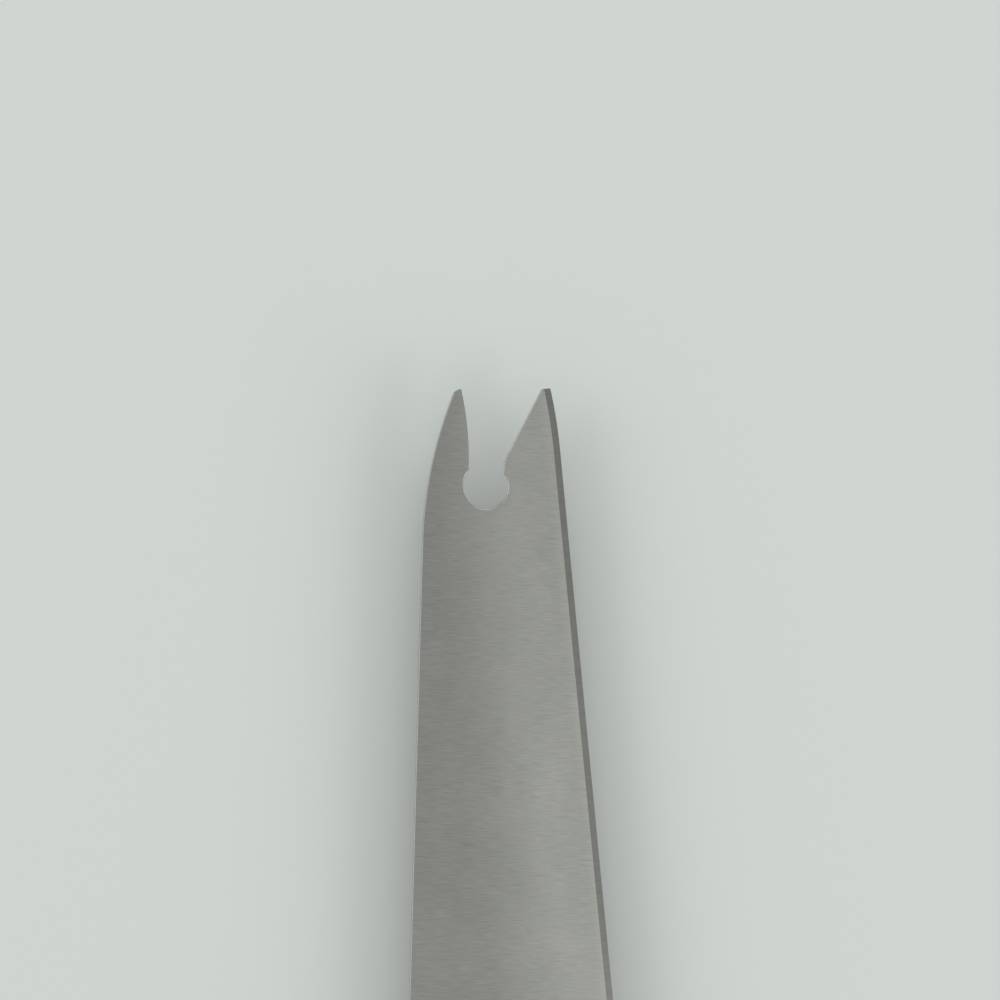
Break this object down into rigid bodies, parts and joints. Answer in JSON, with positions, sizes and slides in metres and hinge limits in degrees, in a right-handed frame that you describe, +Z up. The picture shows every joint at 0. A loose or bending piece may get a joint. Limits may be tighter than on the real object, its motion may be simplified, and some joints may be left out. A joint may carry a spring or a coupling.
{
  "type": "parmesan knife",
  "caption": "Hard-cheese knife with a tapering flat-ground blade, a forked tip with a punched keyhole notch, and a full tang between riveted hardwood scales.",
  "frame": {"origin": "on the surface the knife lies on, under the middle of its length and width", "axes": "+Y from the butt to the prong tips, +X from the spine to the cutting edge, +Z up from the lower scale"},
  "size_m": [0.0302, 0.227, 0.016],
  "materials": {
    "blade_steel": "satin, brushed across the blade",
    "handle_wood": "oiled hardwood, grain along the handle",
    "rivet_steel": "ground flush with the wood"
  },
  "bodies": {
    "root": {"blade": "blade_steel", "upper_scale": "handle_wood", "lower_scale": "handle_wood", "front_rivet_barrel": "rivet_steel", "front_rivet_pin": "rivet_steel", "middle_rivet_barrel": "rivet_steel", "middle_rivet_pin": "rivet_steel", "rear_rivet_barrel": "rivet_steel", "rear_rivet_pin": "rivet_steel"}
  },
  "joints": []
}
